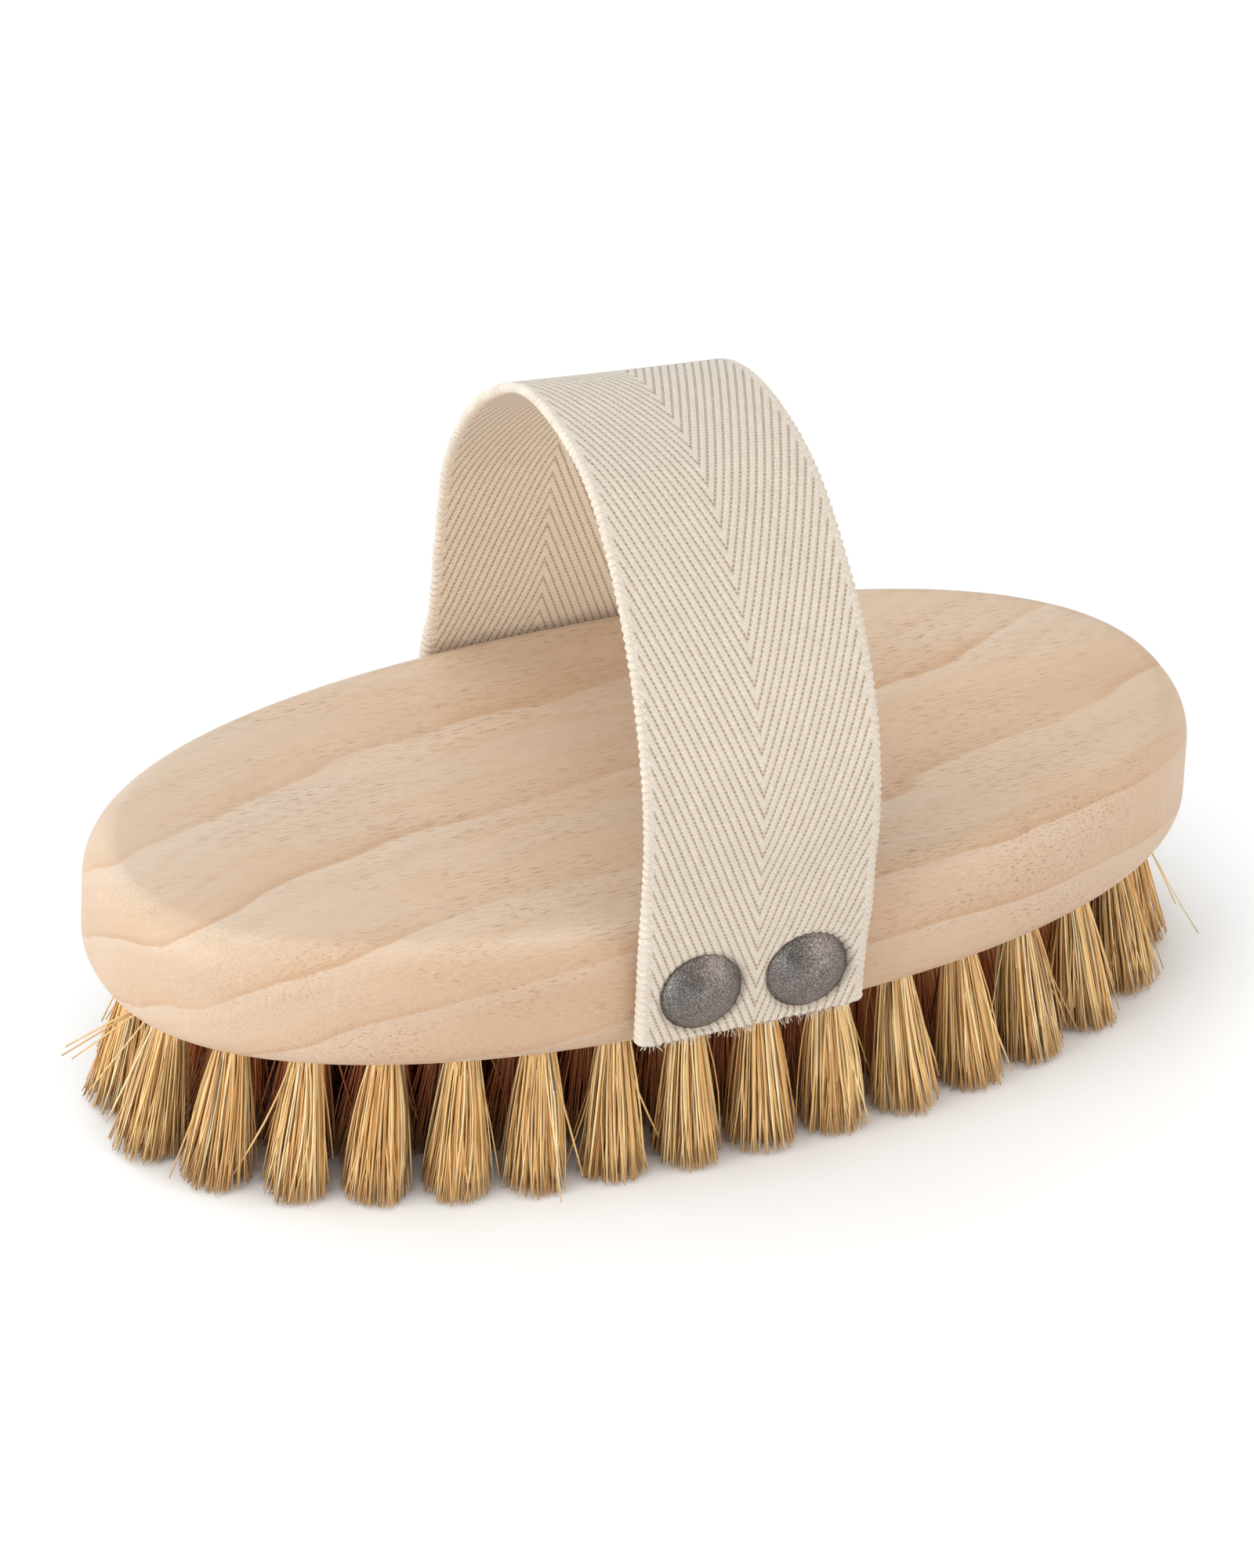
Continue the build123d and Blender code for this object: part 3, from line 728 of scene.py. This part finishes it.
def nail_head(name, material):
    """A stamped dome with a rolled rim, hollow behind and faintly hammered, in place of its CAD cap."""
    low, high = (np.array(c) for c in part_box(name))
    middle = (low + high) / 2
    radius = (high[0] - low[0]) / 2
    height = high[1] - low[1]
    outward = math.copysign(1.0, middle[1])
    base = low[1] if outward > 0 else high[1]

    def cap(r, h, steps, rim_drop=0.0):
        ball = (r ** 2 + h ** 2) / (2 * h)
        reach = r * np.sin(np.linspace(0, math.pi / 2, steps))
        return [(q, math.sqrt(ball ** 2 - q ** 2) - (ball - h) - rim_drop) for q in reach]

    outside = cap(radius - 0.12 * MM, height - 0.2 * MM, 34)
    outside = [(q, z + 0.2 * MM) for q, z in outside]
    rim = [(radius, 0.17 * MM), (radius, 0.05 * MM), (radius - 0.08 * MM, 0.0), (radius - NAIL_WALL, 0.0)]
    inside = cap(radius - NAIL_WALL, height - NAIL_WALL, 14)[::-1][1:]
    profile = outside + rim + inside
    turn = np.linspace(0, 2 * math.pi, NAIL_SIDES, endpoint=False)
    points = []
    for q, z in profile[1:-1]:
        for t in turn:
            spot = Vector((q * math.cos(t) + middle[0], z, q * math.sin(t))) / (0.9 * MM)
            dent = 0.035 * MM * noise.noise(spot) + 0.05 * MM * noise.noise(spot * 0.35)
            points.append((middle[0] + q * math.cos(t), base + outward * (z + dent), middle[2] + q * math.sin(t)))
    top, under = len(points), len(points) + 1
    points += [(middle[0], base + outward * z, middle[2]) for z in (profile[0][1], profile[-1][1])]
    rings = len(profile) - 2
    last = (rings - 1) * NAIL_SIDES
    fans = [(top, k, (k + 1) % NAIL_SIDES) for k in range(NAIL_SIDES)]
    fans += [(under, last + (k + 1) % NAIL_SIDES, last + k) for k in range(NAIL_SIDES)]
    faces = [grid_faces(rings, NAIL_SIDES, wrap=True), fans]
    cap_mesh = add_mesh(name.replace("cap", "dome"), np.array(points), faces, material)
    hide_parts(name)
    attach(cap_mesh, BODY)


# ---- Hidden CAD pieces ---------------------------------------------------------------------------

def paint_hidden_steel():
    """The pins and anchors keep their CAD shapes."""
    pin = steel_material("nail_steel", (0.55, 0.54, 0.53))
    wire = steel_material("anchor_wire", (0.62, 0.62, 0.60))
    for name, node in frame["nodes"].items():
        if name.startswith(("nail_pin", "anchors")):
            node.data.materials.clear()
            node.data.materials.append(pin if name.startswith("nail_pin") else wire)


# ---- Stage ---------------------------------------------------------------------------------------

def camera_axes():
    """The camera's right, up and backward directions, before it is aimed."""
    ca, sa, ce, se = math.cos(AZIMUTH), math.sin(AZIMUTH), math.cos(ELEVATION), math.sin(ELEVATION)
    back = Vector((sa * ce, -ca * ce, se))
    level = Vector((ca, sa, 0))
    up = back.cross(level)
    cr, sr = math.cos(ROLL), math.sin(ROLL)
    return cr * level + sr * up, cr * up - sr * level, back


def add_camera():
    right, up, back = camera_axes()
    centre = Vector((0, 0, BLOCK_BOTTOM))
    eye = centre + back * DISTANCE
    target = centre + right * AIM_ACROSS + up * AIM_UP
    z = (eye - target).normalized()
    x = up.cross(z).normalized()
    y = z.cross(x)
    data = bpy.data.cameras.new("camera")
    data.lens = LENS
    data.sensor_width = 36
    data.clip_start, data.clip_end = 0.01, 20
    camera = bpy.data.objects.new("camera", data)
    camera.matrix_world = Matrix((x, y, z)).transposed().to_4x4()
    camera.location = eye
    bpy.context.scene.collection.objects.link(camera)
    bpy.context.scene.camera = camera


def add_floor():
    mesh = bpy.data.meshes.new("floor")
    reach = 4.0
    corners = [(-reach, -reach, 0), (reach, -reach, 0), (reach, reach, 0), (-reach, reach, 0)]
    mesh.from_pydata(corners, [], [(0, 1, 2, 3)])
    mesh.materials.append(floor_material())
    floor = bpy.data.objects.new("floor", mesh)
    floor.location.z = -FLOOR_GAP
    bpy.context.scene.collection.objects.link(floor)


def add_softbox(name, place, size, power, tint=(1, 1, 1)):
    """A large square light that faces the brush."""
    data = bpy.data.lights.new(name, "AREA")
    data.shape, data.size, data.energy, data.color = "SQUARE", size, power, tint
    lamp = bpy.data.objects.new(name, data)
    lamp.location = place
    lamp.rotation_euler = (Vector((0, 0, 0.05)) - Vector(place)).to_track_quat("-Z", "Y").to_euler()
    bpy.context.scene.collection.objects.link(lamp)


def add_light():
    """A pale world, dimmer straight in front of the brush, and four softboxes."""
    world = bpy.data.worlds.new("studio")
    bpy.context.scene.world = world
    world.use_nodes = True
    tree = world.node_tree
    ahead = tree.nodes.new("ShaderNodeVectorMath")
    ahead.operation = "DOT_PRODUCT"
    ahead.inputs[1].default_value = (0, -0.99, 0.14)
    tree.links.new(tree.nodes.new("ShaderNodeTexCoord").outputs["Generated"], ahead.inputs[0])
    dim = tree.nodes.new("ShaderNodeMapRange")
    for key, value in {"From Min": 0.72, "From Max": 0.97, "To Min": 0.48, "To Max": 0.08}.items():
        dim.inputs[key].default_value = value
    tree.links.new(ahead.outputs["Value"], dim.inputs["Value"])
    sky = tree.nodes["Background"]
    sky.inputs["Color"].default_value = color(1.0, 0.99, 0.94)
    tree.links.new(dim.outputs["Result"], sky.inputs["Strength"])
    add_softbox("back", (-0.35, 1.25, 1.0), 1.9, 12.5, (0.91, 1.0, 1.09))
    add_softbox("over", (-0.3, -0.25, 1.5), 1.2, 11.5, (0.94, 1.0, 1.05))
    add_softbox("left", (-1.4, -0.4, 0.3), 0.9, 18.0, (0.96, 1.0, 1.03))
    add_softbox("right", (0.95, -1.05, 0.35), 1.5, 14.5, (1.05, 0.98, 0.94))
    bpy.context.scene.view_settings.view_transform = "Standard"


# ---- The brush -----------------------------------------------------------------------------------

tufts = read_tufts()
beech_block(beech_material(), tufts)
hair = bristle_material()
for row, members in tufts.items():
    halves = {"": members}
    if row == "outer_ring":
        halves = {
            "_front": [tuft for tuft in members if tuft["root"][1] < 0],
            "_rear": [tuft for tuft in members if tuft["root"][1] >= 0],
        }
    for side, some in halves.items():
        bristle_row(row, side, some, hair)
herringbone_strap(webbing_material())
pewter = nail_material()
for nail in NAIL_NAMES:
    nail_head(nail, pewter)
paint_hidden_steel()
add_floor()
add_light()
add_camera()
